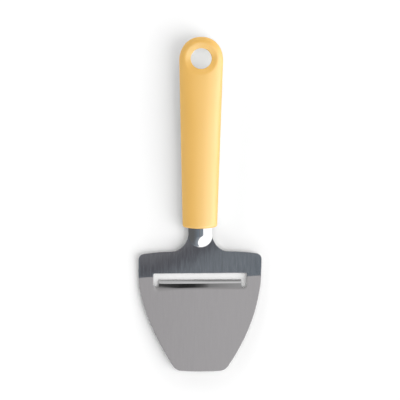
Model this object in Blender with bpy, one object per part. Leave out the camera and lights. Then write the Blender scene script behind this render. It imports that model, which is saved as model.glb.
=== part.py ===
"""A cheese slicer in three pieces: a pressed steel plate with a slot and a cutting lip, the core
moulded round the plate's tang, and the hollow yellow handle that is pushed over the core.

Metres, +Z up. The slicer lies on a table as in use: its cutting edge and the belly of the handle
touch Z = 0. The tip points to -Y, the hanging end to +Y, and X = 0 is the plane of symmetry. The
origin is under the middle of the slicer's length.
"""

import math

import bmesh
import bpy
from mathutils import Vector
from mathutils.geometry import delaunay_2d_cdt

COLLECTION_NAME = "cheese_slicer"

# Lengths from the tip to the hanging end
PLATE_LENGTH = 0.08763
NECK_LENGTH = 0.0165
HANDLE_LENGTH = 0.13964

# Outline of the steel plate
PLATE_WIDTH = 0.09015
SHOULDER_RADIUS = 0.143
SHOULDER_START_X = 0.017
PLATE_CORNER_RADIUS = 0.0044
SIDE_STRAIGHT_RADIUS = 0.399
SIDE_STRAIGHT_START = 0.01394
SIDE_STRAIGHT_TURN = math.radians(0.82)
SIDE_KNEE_RADIUS = 0.0501
SIDE_KNEE_TURN = math.radians(11.4)
SIDE_TAPER_RADIUS = 0.1507
TIP_CORNER_RADIUS = 0.0082
TIP_BOW_RADIUS = 0.220
FLARE_RADIUS = 0.014
FLARE_FILLET_RADIUS = 0.004
FLARE_START = 0.01345

# Sheet steel, and how it is bent
SHEET = 0.0012
BEND_FROM_SHOULDER = 0.01835
BEND_SOFTNESS = 0.0016
BAND_RISE = math.radians(6.5)
SPADE_RISE = math.radians(3.5)
TANG_RISE = math.radians(1.5)
TANG_BEND_DEPTH = 0.004
TANG_BEND_SOFTNESS = 0.003

# Slot and cutting lip
SLOT_FROM_SHOULDER = 0.01585
SLOT_GAP = 0.0048
SLOT_CORNER_RADIUS = 0.0009
LIP_WIDTH = 0.0604
LIP_LENGTH = 0.0062
LEG_WIDTH = 0.00385
LIP_BEND_LENGTH = 0.0022
BEVEL_LENGTH = 0.0036
EDGE_LAND = 0.0002
SLICE_THICKNESS = 0.0020

# Half-round bead that stiffens the neck and the tang
NECK_WIDTH = 0.0175
BEAD_WIDTH = 0.0171
BEAD_HEIGHT = 0.0036
BEAD_END_FROM_SHOULDER = 0.00295

# Tang inside the handle
TANG_LENGTH = 0.064
TANG_WIDTH = 0.0120
TANG_CORNER_RADIUS = 0.003
TANG_SHOULDER_DEPTH = 0.0005
TANG_TAPER_LENGTH = 0.003
TANG_HOLE_RADIUS = 0.0022
TANG_HOLE_PITCH = 0.026
TANG_HOLE_FROM_END = 0.012

# Outside of the handle
HANDLE_MOUTH_WIDTH = 0.0251
HANDLE_END_WIDTH = 0.0319
HANDLE_END_LENGTH = 0.0175
HANDLE_END_POWER = 2.15
HANDLE_SECTION_POWER = 2.15
HANDLE_TOP = 0.0202
BACK_CREST_FROM_END = 0.027
BACK_RADIUS = 1.70
BELLY_FROM_MOUTH = 0.0345
BELLY_RADIUS = 0.550
END_EDGE_LENGTH = 0.009
MOUTH_EDGE_RADIUS = 0.0018
MOUTH_DOME = 0.0014
MOUTH_DOME_LENGTH = 0.012

# Hanging hole, with a dish round it on both faces
HOLE_FROM_END = 0.01584
HOLE_RADIUS = 0.0076
DISH_RADIUS = 0.01185
DISH_SLOPE = math.radians(10.5)

# Hollow of the handle, and the core that fills its mouth
WALL = 0.0022
CLEARANCE = 0.0003
CAVITY_TO_DISH = 0.0030
CAVITY_END_LENGTH = 0.008
CORE_RECESS = 0.0010
CORE_LENGTH = 0.072
CORE_PLUG_LENGTH = 0.012
CORE_BODY_INSET = 0.0012
CORE_RIB_LENGTH = 0.003
CORE_RIB_PITCH = 0.014
SNAP_FROM_MOUTH = 0.0075
SNAP_LENGTH = 0.0030
SNAP_HEIGHT = 0.0005

# Facets
SECTION_SIDES = 40
SIDE_RINGS = 9
END_RINGS = 13
MOUTH_RINGS = 4
HOLE_SIDES = 48
CAVITY_RINGS = 6
CAVITY_END_RINGS = 5
ARC_STEP = math.radians(7.5)
ARC_SAGITTA = 0.00003
BEND_LINES = 4
BEAD_RINGS = 6
SLOPE_STEP = 0.0002
STEP_SLOPE = 0.00012
CUT_MARGIN = 0.004

# Places along Y
OVERALL_LENGTH = PLATE_LENGTH + NECK_LENGTH + HANDLE_LENGTH
TIP_Y = -OVERALL_LENGTH / 2
SHOULDER_Y = TIP_Y + PLATE_LENGTH
MOUTH_Y = SHOULDER_Y + NECK_LENGTH
END_Y = MOUTH_Y + HANDLE_LENGTH
BEND_Y = SHOULDER_Y - BEND_FROM_SHOULDER
SLOT_TOP_Y = SHOULDER_Y - SLOT_FROM_SHOULDER
EDGE_Y = SLOT_TOP_Y - SLOT_GAP
LIP_ROOT_Y = EDGE_Y - LIP_LENGTH
BEAD_END_Y = SHOULDER_Y + BEAD_END_FROM_SHOULDER + BEAD_WIDTH / 2
TANG_BEND_Y = MOUTH_Y + TANG_BEND_DEPTH
TANG_END_Y = MOUTH_Y + TANG_LENGTH
HOLE_Y = END_Y - HOLE_FROM_END
CAVITY_END_Y = HOLE_Y - DISH_RADIUS - CAVITY_TO_DISH
CORE_START_Y = MOUTH_Y + CORE_RECESS
CORE_END_Y = MOUTH_Y + CORE_LENGTH


def arc(centre, radius, start, end):
    """Points from angle start to angle end about centre, both ends included."""
    widest = min(ARC_STEP, 2 * math.acos(1 - ARC_SAGITTA / radius))
    steps = max(2, math.ceil(abs(end - start) / widest))
    angles = [start + (end - start) * i / steps for i in range(steps + 1)]
    return [
        (centre[0] + radius * math.cos(a), centre[1] + radius * math.sin(a))
        for a in angles
    ]


def angle_of(centre, point):
    return math.atan2(point[1] - centre[1], point[0] - centre[0])


def circles_meet(first, first_radius, second, second_radius, side):
    """Where two circles cross: on the left of the way from first to second for side 1, right for -1."""
    dx = second[0] - first[0]
    dy = second[1] - first[1]
    apart = math.hypot(dx, dy)
    along = (apart**2 + first_radius**2 - second_radius**2) / (2 * apart)
    across = side * math.sqrt(max(first_radius**2 - along**2, 0.0))
    return (
        first[0] + (along * dx - across * dy) / apart,
        first[1] + (along * dy + across * dx) / apart,
    )


def mirrored(half):
    """A closed loop from its right half, which runs from the top of X = 0 down to the bottom."""
    return half + [(-x, y) for x, y in reversed(half) if x > 1e-6]


def tang_outline():
    half = TANG_WIDTH / 2
    corner = (half - TANG_CORNER_RADIUS, TANG_END_Y - TANG_CORNER_RADIUS)
    taper_y = MOUTH_Y + TANG_SHOULDER_DEPTH
    points = [(0.0, TANG_END_Y)]
    points += arc(corner, TANG_CORNER_RADIUS, math.pi / 2, 0.0)
    points += [(half, taper_y + TANG_TAPER_LENGTH), (NECK_WIDTH / 2, taper_y)]
    return points


def plate_outline():
    """Right half of the plate from the neck to the tip: arcs that run into each other."""
    flare = (NECK_WIDTH / 2 + FLARE_RADIUS, SHOULDER_Y + FLARE_START)
    shoulder = (SHOULDER_START_X, SHOULDER_Y - SHOULDER_RADIUS)
    fillet = circles_meet(
        flare, FLARE_RADIUS - FLARE_FILLET_RADIUS, shoulder, SHOULDER_RADIUS + FLARE_FILLET_RADIUS, -1
    )
    side = (PLATE_WIDTH / 2 - SIDE_STRAIGHT_RADIUS, SHOULDER_Y - SIDE_STRAIGHT_START)
    corner = circles_meet(
        shoulder, SHOULDER_RADIUS - PLATE_CORNER_RADIUS, side, SIDE_STRAIGHT_RADIUS - PLATE_CORNER_RADIUS, -1
    )
    knee = stepped_centre(side, SIDE_STRAIGHT_RADIUS - SIDE_KNEE_RADIUS, SIDE_STRAIGHT_TURN)
    taper_angle = SIDE_STRAIGHT_TURN + SIDE_KNEE_TURN
    taper = stepped_centre(knee, SIDE_KNEE_RADIUS - SIDE_TAPER_RADIUS, taper_angle)
    tip = (0.0, TIP_Y + TIP_BOW_RADIUS)
    tip_corner = circles_meet(
        taper, SIDE_TAPER_RADIUS - TIP_CORNER_RADIUS, tip, TIP_BOW_RADIUS - TIP_CORNER_RADIUS, -1
    )
    flare_end = angle_of(flare, fillet)
    points = arc(flare, FLARE_RADIUS, math.pi, flare_end % (2 * math.pi))
    points += arc(fillet, FLARE_FILLET_RADIUS, flare_end, angle_of(fillet, shoulder))[1:]
    points += arc(shoulder, SHOULDER_RADIUS, angle_of(shoulder, fillet), angle_of(shoulder, corner))[1:]
    points += arc(corner, PLATE_CORNER_RADIUS, angle_of(shoulder, corner), angle_of(side, corner))[1:]
    points += arc(side, SIDE_STRAIGHT_RADIUS, angle_of(side, corner), -SIDE_STRAIGHT_TURN)[1:]
    points += arc(knee, SIDE_KNEE_RADIUS, -SIDE_STRAIGHT_TURN, -taper_angle)[1:]
    points += arc(taper, SIDE_TAPER_RADIUS, -taper_angle, angle_of(taper, tip_corner))[1:]
    points += arc(tip_corner, TIP_CORNER_RADIUS, angle_of(taper, tip_corner), angle_of(tip, tip_corner))[1:]
    points += arc(tip, TIP_BOW_RADIUS, angle_of(tip, tip_corner), -math.pi / 2)[1:]
    return points


def stepped_centre(centre, distance, turn):
    """Centre of the next arc of a chain, on the line through the point where the two arcs meet."""
    return (centre[0] + distance * math.cos(turn), centre[1] - distance * math.sin(turn))


def slot_outline():
    """Right half of the slot: a bar across the plate with a leg down each side of the lip."""
    lip = LIP_WIDTH / 2
    outer = lip + LEG_WIDTH
    corner = (outer - SLOT_CORNER_RADIUS, SLOT_TOP_Y - SLOT_CORNER_RADIUS)
    leg = (lip + LEG_WIDTH / 2, LIP_ROOT_Y + LEG_WIDTH / 2)
    points = [(0.0, SLOT_TOP_Y)]
    points += arc(corner, SLOT_CORNER_RADIUS, math.pi / 2, 0.0)
    points += arc(leg, LEG_WIDTH / 2, 0.0, -math.pi)
    points += [(lip, EDGE_Y), (0.0, EDGE_Y)]
    return points


def tang_hole_places():
    last = TANG_END_Y - TANG_HOLE_FROM_END
    return [(0.0, last), (0.0, last - TANG_HOLE_PITCH)]


def ramp(distance, softness):
    """0 before the bend and distance after it, with a parabola across softness on each side."""
    if distance <= -softness:
        return 0.0
    if distance >= softness:
        return distance
    return (distance + softness) ** 2 / (4 * softness)


def bead_height(x, y):
    """Half-round bead: an arc across the neck and a dome at the end towards the plate."""
    foot = BEAD_WIDTH / 2
    radius = (foot**2 + BEAD_HEIGHT**2) / (2 * BEAD_HEIGHT)
    from_ridge = math.hypot(x, min(y - BEAD_END_Y, 0.0))
    if from_ridge >= foot:
        return 0.0
    return math.sqrt(radius**2 - from_ridge**2) - (radius - BEAD_HEIGHT)


def plane_height(y):
    """Upper face of the bent sheet without its bead and lip."""
    under_to_top = SHEET / math.cos(BAND_RISE)
    at_bend = SLICE_THICKNESS + under_to_top - math.tan(BAND_RISE) * (SLOT_TOP_Y - BEND_Y)
    levelling = math.tan(BAND_RISE) - math.tan(TANG_RISE)
    return (
        at_bend
        + math.tan(BAND_RISE) * ramp(y - BEND_Y, BEND_SOFTNESS)
        + math.tan(SPADE_RISE) * ramp(BEND_Y - y, BEND_SOFTNESS)
        - levelling * ramp(y - TANG_BEND_Y, TANG_BEND_SOFTNESS)
    )


def on_lip(x, y):
    return abs(x) < (LIP_WIDTH + LEG_WIDTH) / 2 and LIP_ROOT_Y < y < EDGE_Y + SLOT_GAP / 2


def lip_drop(y):
    """How far the lip is pressed down, so that its lower corner at the edge is on Z = 0."""
    steepness = (plane_height(EDGE_Y) - SHEET) / (LIP_LENGTH - LIP_BEND_LENGTH / 2)
    return steepness * ramp(y - LIP_ROOT_Y - LIP_BEND_LENGTH / 2, LIP_BEND_LENGTH / 2)


def pressed_height(x, y):
    return plane_height(y) + bead_height(x, y) - (lip_drop(y) if on_lip(x, y) else 0.0)


def sheet_faces(x, y):
    """Heights of the sheet's lower and upper face. The upper one is ground to a bevel at the edge."""
    step = SLOPE_STEP
    slope_x = (pressed_height(x + step, y) - pressed_height(x - step, y)) / (2 * step)
    slope_y = (pressed_height(x, y + step) - pressed_height(x, y - step)) / (2 * step)
    upper = pressed_height(x, y)
    lower = upper - SHEET * math.sqrt(1 + slope_x**2 + slope_y**2)
    if not on_lip(x, y):
        return lower, upper
    lower = upper - SHEET
    bevel_start = EDGE_Y - BEVEL_LENGTH
    if y > bevel_start:
        ground = (y - bevel_start) / BEVEL_LENGTH
        start_height = pressed_height(x, bevel_start)
        edge_height = pressed_height(x, EDGE_Y) - SHEET + EDGE_LAND
        upper = start_height + (edge_height - start_height) * ground
    return lower, upper


def inside(point, loop):
    """True where a line to +X from point crosses the loop an odd number of times."""
    x, y = point
    found = False
    for (x1, y1), (x2, y2) in zip(loop, loop[1:] + loop[:1]):
        if (y1 > y) != (y2 > y) and x < x1 + (y - y1) * (x2 - x1) / (y2 - y1):
            found = not found
    return found


def press_lines():
    """Lines that the blank is divided along, so that its facets follow the bends, lip and bead."""
    reach = PLATE_WIDTH
    lines = []
    for y in spread(BEND_Y - BEND_SOFTNESS, BEND_Y + BEND_SOFTNESS, BEND_LINES):
        lines.append([(-reach, y), (reach, y)])
    for y in spread(TANG_BEND_Y - TANG_BEND_SOFTNESS, TANG_BEND_Y + TANG_BEND_SOFTNESS, BEND_LINES):
        lines.append([(-NECK_WIDTH, y), (NECK_WIDTH, y)])
    middle = (LIP_WIDTH + LEG_WIDTH) / 2
    for y in spread(LIP_ROOT_Y, LIP_ROOT_Y + LIP_BEND_LENGTH, BEND_LINES)[1:]:
        lines.append([(-middle, y), (middle, y)])
    bevel_y = EDGE_Y - BEVEL_LENGTH
    lines.append([(-middle, bevel_y), (middle, bevel_y)])
    top = TANG_END_Y + CUT_MARGIN
    lines.append([(0.0, BEAD_END_Y), (0.0, top)])
    foot = BEAD_WIDTH / 2
    for i in range(1, BEAD_RINGS + 1):
        ring = foot * math.sin(math.pi / 2 * i / BEAD_RINGS) if i < BEAD_RINGS else foot
        dome = arc((0.0, BEAD_END_Y), ring, 0.0, -math.pi)
        lines.append([(ring, top)] + dome + [(-ring, top)])
    return lines


def divided_blank(outline, holes):
    """The flat blank as points and triangles, divided along the press lines."""
    points = []
    edges = []
    for loop, closed in [(outline, True)] + [(h, True) for h in holes] + [(p, False) for p in press_lines()]:
        start = len(points)
        points += [Vector(p) for p in loop]
        edges += [(start + i, start + i + 1) for i in range(len(loop) - 1)]
        if closed:
            edges.append((start + len(loop) - 1, start))
    flat, _, triangles, *_ = delaunay_2d_cdt(points, edges, [], 0, 1e-7)
    kept = []
    for triangle in triangles:
        middle = sum((flat[i] for i in triangle), Vector((0.0, 0.0))) / 3
        if inside(middle, outline) and not any(inside(middle, hole) for hole in holes):
            kept.append(triangle)
    return flat, kept


def pressed_sheet(name, outline, holes, extra=0.0):
    """Extrudes the blank and presses both faces to shape. extra is stock added above and below."""
    flat, triangles = divided_blank(outline, holes)
    used = sorted({i for triangle in triangles for i in triangle})
    bm = bmesh.new()
    corners = {}
    for i in used:
        x, y = flat[i]
        corners[i] = bm.verts.new((x, y, sheet_faces(x, y)[0] - extra))
    for triangle in triangles:
        bm.faces.new([corners[i] for i in triangle])
    extruded = bmesh.ops.extrude_face_region(bm, geom=bm.faces[:])
    for item in extruded["geom"]:
        if isinstance(item, bmesh.types.BMVert):
            item.co.z = sheet_faces(item.co.x, item.co.y)[1] + extra
    return object_from(bm, name)


def object_from(bm, name):
    bmesh.ops.recalc_face_normals(bm, faces=bm.faces[:])
    mesh = bpy.data.meshes.new(name)
    bm.to_mesh(mesh)
    bm.free()
    return bpy.data.objects.new(name, mesh)


def lofted(name, rings, start_point=None, end_point=None):
    """A closed skin over rings of equal count: each end is a flat cap or runs to a point."""
    bm = bmesh.new()
    loops = [[bm.verts.new(p) for p in ring] for ring in rings]
    for below, above in zip(loops, loops[1:]):
        for i in range(len(below)):
            j = (i + 1) % len(below)
            bm.faces.new((below[i], below[j], above[j], above[i]))
    for loop, point in ((loops[0], start_point), (loops[-1], end_point)):
        if point is None:
            bm.faces.new(loop)
            continue
        pole = bm.verts.new(point)
        for i in range(len(loop)):
            bm.faces.new((loop[i], loop[(i + 1) % len(loop)], pole))
    return object_from(bm, name)


def handle_half_width(y):
    """Straight taper from the mouth to the hanging hole, then a superellipse round the end."""
    mouth = HANDLE_MOUTH_WIDTH / 2
    full = HANDLE_END_WIDTH / 2
    rounding = END_Y - HANDLE_END_LENGTH
    tapered = mouth + (full - mouth) * min((y - MOUTH_Y) / (rounding - MOUTH_Y), 1.0)
    if y <= rounding:
        return tapered
    share = min((y - rounding) / HANDLE_END_LENGTH, 1.0)
    return full * (1 - share**HANDLE_END_POWER) ** (1 / HANDLE_END_POWER)


def handle_top_height(y):
    return HANDLE_TOP - (y - (END_Y - BACK_CREST_FROM_END)) ** 2 / (2 * BACK_RADIUS)


def handle_belly_height(y):
    return (y - (MOUTH_Y + BELLY_FROM_MOUTH)) ** 2 / (2 * BELLY_RADIUS)


def handle_middle(y):
    return (handle_top_height(y) + handle_belly_height(y)) / 2


def handle_half_depth(y):
    depth = (handle_top_height(y) - handle_belly_height(y)) / 2
    into_end = max(y - (END_Y - END_EDGE_LENGTH), 0.0) / END_EDGE_LENGTH
    return depth * math.sqrt(max(1 - into_end**2, 0.0))


def section(y, inset=0.0, dome=0.0):
    """An oval ring across the handle at y, drawn in by inset. dome bows its sides towards +Y."""
    wide = handle_half_width(y) - inset
    deep = handle_half_depth(y) - inset
    ring = []
    for i in range(SECTION_SIDES):
        turn = 2 * math.pi * i / SECTION_SIDES
        c, s = math.cos(turn), math.sin(turn)
        x = wide * math.copysign(abs(c) ** (2 / HANDLE_SECTION_POWER), c)
        z = deep * math.copysign(abs(s) ** (2 / HANDLE_SECTION_POWER), s)
        bow = dome * (x / handle_half_width(y)) ** 2
        ring.append((x, y + bow, handle_middle(y) + z))
    return ring


def mouth_dome(y):
    """The domed mouth fades out along the handle."""
    return MOUTH_DOME * max(1 - (y - MOUTH_Y) / MOUTH_DOME_LENGTH, 0.0)


def handle_surface_height(x, y, face):
    """Height of the handle's upper face (face 1) or lower face (face -1) over a point."""
    across = min(abs(x) / handle_half_width(y), 1.0)
    rise = (1 - across**HANDLE_SECTION_POWER) ** (1 / HANDLE_SECTION_POWER)
    return handle_middle(y) + face * handle_half_depth(y) * rise


def spread(start, end, count):
    return [start + (end - start) * i / count for i in range(count + 1)]


def handle_outside(name):
    rings = []
    for angle in spread(0.0, math.pi / 2, MOUTH_RINGS):
        y = MOUTH_Y + MOUTH_EDGE_RADIUS * (1 - math.sin(angle))
        rings.append(section(y, MOUTH_EDGE_RADIUS * (1 - math.cos(angle)), mouth_dome(y)))
    rings.reverse()
    rounding = END_Y - HANDLE_END_LENGTH
    for y in spread(MOUTH_Y + MOUTH_DOME_LENGTH, rounding, SIDE_RINGS):
        rings.append(section(y))
    for angle in spread(0.0, math.pi / 2, END_RINGS)[1:-1]:
        y = rounding + HANDLE_END_LENGTH * math.sin(angle) ** (2 / HANDLE_END_POWER)
        rings.append(section(y))
    return lofted(name, rings, end_point=(0.0, END_Y, handle_middle(END_Y)))


def snap_depth(y):
    """Depth at y of the groove in the hollow, which the core's ring fills."""
    middle = MOUTH_Y + SNAP_FROM_MOUTH
    return SNAP_HEIGHT if abs(y - middle) < SNAP_LENGTH / 2 else 0.0


def snap_stations():
    """Where the groove starts and ends, with a short slope on each side."""
    low = MOUTH_Y + SNAP_FROM_MOUTH - SNAP_LENGTH / 2
    high = low + SNAP_LENGTH
    return [low - SNAP_HEIGHT, low + STEP_SLOPE, high - STEP_SLOPE, high + SNAP_HEIGHT]


def handle_cavity(name):
    """The hollow, from outside the mouth to its rounded blind end."""
    rings = [[(x, y - CUT_MARGIN, z) for x, y, z in section(MOUTH_Y, WALL)]]
    straight_end = CAVITY_END_Y - CAVITY_END_LENGTH
    stations = snap_stations() + spread(MOUTH_Y + MOUTH_DOME_LENGTH, straight_end, CAVITY_RINGS)
    for y in sorted(stations):
        rings.append(section(y, WALL - snap_depth(y)))
    for angle in spread(0.0, math.pi / 2, CAVITY_END_RINGS)[1:-1]:
        y = CAVITY_END_Y - CAVITY_END_LENGTH * (1 - math.sin(angle))
        narrow = handle_half_depth(y) - WALL
        rings.append(section(y, WALL + narrow * (1 - math.cos(angle))))
    return lofted(name, rings, end_point=(0.0, CAVITY_END_Y, handle_middle(CAVITY_END_Y)))


def hanging_hole(name):
    """The hole with its dish on both faces. The dish's rim follows the handle's surface."""
    depth = (DISH_RADIUS - HOLE_RADIUS) * math.tan(DISH_SLOPE)

    def ring(radius, face, offset):
        points = []
        for i in range(HOLE_SIDES):
            turn = 2 * math.pi * i / HOLE_SIDES
            c, s = math.cos(turn), math.sin(turn)
            rim = handle_surface_height(DISH_RADIUS * c, HOLE_Y + DISH_RADIUS * s, face)
            points.append((radius * c, HOLE_Y + radius * s, rim + face * offset))
        return points

    rings = [
        ring(DISH_RADIUS, -1, CUT_MARGIN),
        ring(DISH_RADIUS, -1, 0.0),
        ring(HOLE_RADIUS, -1, -depth),
        ring(HOLE_RADIUS, 1, -depth),
        ring(DISH_RADIUS, 1, 0.0),
        ring(DISH_RADIUS, 1, CUT_MARGIN),
    ]
    return lofted(name, rings)


def core_inset(y):
    """The core fills the mouth, thins to a body behind it, and has ribs that touch the hollow."""
    full = WALL + CLEARANCE - snap_depth(y)
    behind = y - (CORE_START_Y + CORE_PLUG_LENGTH)
    if behind < 0:
        return full
    on_rib = behind % CORE_RIB_PITCH > CORE_RIB_PITCH - CORE_RIB_LENGTH
    return full if on_rib else full + CORE_BODY_INSET


def core_stations():
    stations = [CORE_START_Y, CORE_END_Y] + snap_stations()
    start = CORE_START_Y + CORE_PLUG_LENGTH
    while start < CORE_END_Y:
        rib = start + CORE_RIB_PITCH - CORE_RIB_LENGTH
        for y in (start, rib):
            stations += [y - STEP_SLOPE, y + STEP_SLOPE]
        start += CORE_RIB_PITCH
    return sorted(y for y in stations if CORE_START_Y <= y <= CORE_END_Y)


def core_body(name):
    return lofted(name, [section(y, core_inset(y)) for y in core_stations()])


def cut(target, cutter, name):
    modifier = target.modifiers.new(name, "BOOLEAN")
    modifier.operation = "DIFFERENCE"
    modifier.object = cutter


def material(name, colour, roughness, metallic):
    made = bpy.data.materials.new(name)
    made.use_nodes = True
    shader = made.node_tree.nodes["Principled BSDF"]
    shader.inputs["Base Color"].default_value = (*colour, 1.0)
    shader.inputs["Roughness"].default_value = roughness
    shader.inputs["Metallic"].default_value = metallic
    return made


def collection(name):
    made = bpy.data.collections.new(name)
    bpy.context.scene.collection.children.link(made)
    return made


def add_part(obj, into, made_of):
    into.objects.link(obj)
    obj.data.materials.append(made_of)
    obj.data.shade_smooth()
    obj.data.set_sharp_from_angle(angle=math.radians(25))


def add_cutter(obj, into):
    into.objects.link(obj)
    obj.hide_render = True
    obj.display_type = "WIRE"


def grown(outline, by):
    """A loop moved outwards by a distance, for a loop that runs clockwise."""
    moved = []
    count = len(outline)
    for i, (x, y) in enumerate(outline):
        before = Vector(outline[i - 1])
        after = Vector(outline[(i + 1) % count])
        way = (after - before).normalized()
        moved.append((x - way.y * by, y + way.x * by))
    return moved


def main():
    for obj in list(bpy.data.objects):
        bpy.data.objects.remove(obj)
    parts = collection(COLLECTION_NAME)
    cutters = collection("cutters")

    plate_loop = mirrored(tang_outline() + plate_outline())
    slot_loop = mirrored(slot_outline())
    hole_loops = [arc(place, TANG_HOLE_RADIUS, 0.0, 2 * math.pi)[:-1] for place in tang_hole_places()]
    peg_loops = [
        arc(place, TANG_HOLE_RADIUS - CLEARANCE, 0.0, 2 * math.pi)[:-1] for place in tang_hole_places()
    ]

    plate = pressed_sheet("blade_plate", plate_loop, [slot_loop] + hole_loops)
    add_part(plate, parts, material("blade_steel", (0.56, 0.56, 0.57), 0.32, 1.0))

    tang_room = pressed_sheet("tang_room", grown(plate_loop, CLEARANCE), [slot_loop] + peg_loops, CLEARANCE)
    add_cutter(tang_room, cutters)

    core = core_body("tang_core")
    cut(core, tang_room, "room_for_the_tang")
    add_part(core, parts, material("core_plastic", (0.87, 0.60, 0.20), 0.45, 0.0))

    shell = handle_outside("handle_shell")
    cavity = handle_cavity("handle_hollow")
    hole = hanging_hole("hanging_hole")
    for cutter in (cavity, hole):
        add_cutter(cutter, cutters)
    cut(shell, cavity, "hollow")
    cut(shell, hole, "hanging_hole")
    add_part(shell, parts, material("handle_plastic", (0.90, 0.62, 0.22), 0.42, 0.0))


main()
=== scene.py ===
"""A cheese slicer with a yellow handle, dressed round its CAD frame.

Metres, +Z up. The tip points to -Y, the hanging end to +Y, and X = 0 is the CAD's plane of
symmetry. The pressed plate and the handle are surfaces worked out on grids, at the sizes of the
CAD, apart from the small unevenness stated below. The core in the mouth of the handle is the
CAD's own solid with a better finish. Out of sight, the tang lacks the CAD's two holes and the
handle its groove, so the core's pegs and snap ring cut into them.
"""

import math

import bmesh
import bpy
import numpy as np
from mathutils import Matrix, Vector


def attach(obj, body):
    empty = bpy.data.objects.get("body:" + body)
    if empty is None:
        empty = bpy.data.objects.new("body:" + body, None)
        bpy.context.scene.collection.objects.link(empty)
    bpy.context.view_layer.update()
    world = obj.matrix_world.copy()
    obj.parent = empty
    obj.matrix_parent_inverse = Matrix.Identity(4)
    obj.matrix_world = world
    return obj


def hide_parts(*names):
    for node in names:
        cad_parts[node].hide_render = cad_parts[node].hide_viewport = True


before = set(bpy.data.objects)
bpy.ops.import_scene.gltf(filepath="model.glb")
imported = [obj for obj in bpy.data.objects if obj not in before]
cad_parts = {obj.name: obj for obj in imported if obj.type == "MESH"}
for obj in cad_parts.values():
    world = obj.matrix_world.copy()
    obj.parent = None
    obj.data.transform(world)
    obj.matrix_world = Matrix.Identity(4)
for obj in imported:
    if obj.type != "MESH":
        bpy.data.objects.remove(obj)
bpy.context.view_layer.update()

# Lengths from the tip to the hanging end
PLATE_LENGTH = 0.08763
NECK_LENGTH = 0.0165
HANDLE_LENGTH = 0.13964

# Outline of the steel plate
PLATE_WIDTH = 0.09015
SHOULDER_RADIUS = 0.143
SHOULDER_START_X = 0.017
PLATE_CORNER_RADIUS = 0.0044
SIDE_STRAIGHT_RADIUS = 0.399
SIDE_STRAIGHT_START = 0.01394
SIDE_STRAIGHT_TURN = math.radians(0.82)
SIDE_KNEE_RADIUS = 0.0501
SIDE_KNEE_TURN = math.radians(11.4)
SIDE_TAPER_RADIUS = 0.1507
TIP_CORNER_RADIUS = 0.0082
TIP_BOW_RADIUS = 0.220
FLARE_RADIUS = 0.014
FLARE_FILLET_RADIUS = 0.004
FLARE_START = 0.01345

# Sheet steel, and how it is bent
SHEET = 0.0012
BEND_FROM_SHOULDER = 0.01835
BEND_SOFTNESS = 0.0008
BEND_END_DRIFT = 0.0010
BAND_RISE = math.radians(6.5)
SPADE_RISE = math.radians(3.5)
TANG_RISE = math.radians(1.5)
TANG_BEND_DEPTH = 0.004
TANG_BEND_SOFTNESS = 0.003

# Slot and cutting lip
SLOT_FROM_SHOULDER = 0.01585
SLOT_GAP = 0.0048
SLOT_CORNER_RADIUS = 0.0009
LIP_WIDTH = 0.0604
LIP_LENGTH = 0.0062
LEG_WIDTH = 0.00385
LIP_BEND_SOFTNESS = 0.0010
LIP_BEND_LEFT_SOFTNESS = 0.0027
LIP_BEND_RIGHT_SOFTENING = 0.0003
LIP_LEFT_END = 0.014
LIP_RIGHT_END_X = -0.018
LIP_RIGHT_END = 0.024
LIP_ROOT_REACH = 0.00065
LIP_ROOT_LEFT_DROP = 0.00015
LIP_ROOT_RIGHT_RAISE = 0.0005
BEVEL_LENGTH = 0.00292
BEVEL_SKEW = 0.006
BEVEL_HOLLOW = 0.50
EDGE_LAND = 0.00062
SLICE_THICKNESS = 0.0020
EDGE_ROUND = 0.00018
FACET_DEPTH = 0.00003
LIP_SKEW = 0.006
SLOT_SLANT = 0.0088
SLOT_LEVEL_X = 0.026
LEG_END_RAISE = 0.0004

# Grid of the plate: columns over half the lip, a leg of the slot and the steel beside it, how much
# of the half width the first two take up near the tip, how far around the slot its corners and
# leg ends move the rows, and the least gap between rows
LIP_COLUMNS = 34
LEG_COLUMNS = 12
WING_COLUMNS = 13
LIP_SHARE = 0.68
LEG_SHARE = 0.78
SLOT_FADE = 0.003
LEG_FADE_ACROSS = 0.004
LEG_FADE_BELOW = 0.005
ROW_GAP = 6e-5

# Half-round bead on the neck
NECK_WIDTH = 0.0175
BEAD_WIDTH = 0.0171
BEAD_HEIGHT = 0.0036
BEAD_FOOT_SOFTNESS = 0.0002
BEAD_RIGHT_FLANK = 1.055
BEAD_END_FROM_SHOULDER = 0.00295

# Unevenness of the real outline: shoulders that are lifted outside some X, sides that are drawn in
# around some Y, and a handle that leans to the right of the plate
RIGHT_SHOULDER_LIFT = 0.00077
RIGHT_LIFT_FROM = 0.010
RIGHT_LIFT_WIDTH = 0.032
LEFT_SHOULDER_LIFT = 0.00030
LEFT_LIFT_FROM = 0.026
LEFT_LIFT_WIDTH = 0.014
SHOULDER_LIFT_DEPTH = 0.0055
SHOULDER_LIFT_FADE = 0.007
RIGHT_SIDE_INSET = 0.00075
RIGHT_SIDE_Y = -0.061
RIGHT_SIDE_REACH = 0.016
LEFT_SIDE_INSET = 0.00092
LEFT_SIDE_Y = -0.103
LEFT_SIDE_REACH = 0.022
SIDE_INSET_POWER = 6
HANDLE_LEAN = 0.0080
HANDLE_LEAN_Y = 0.016

# Tang inside the handle
TANG_LENGTH = 0.064
TANG_WIDTH = 0.0120
TANG_CORNER_RADIUS = 0.003
TANG_SHOULDER_DEPTH = 0.0005
TANG_TAPER_LENGTH = 0.003

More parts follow.
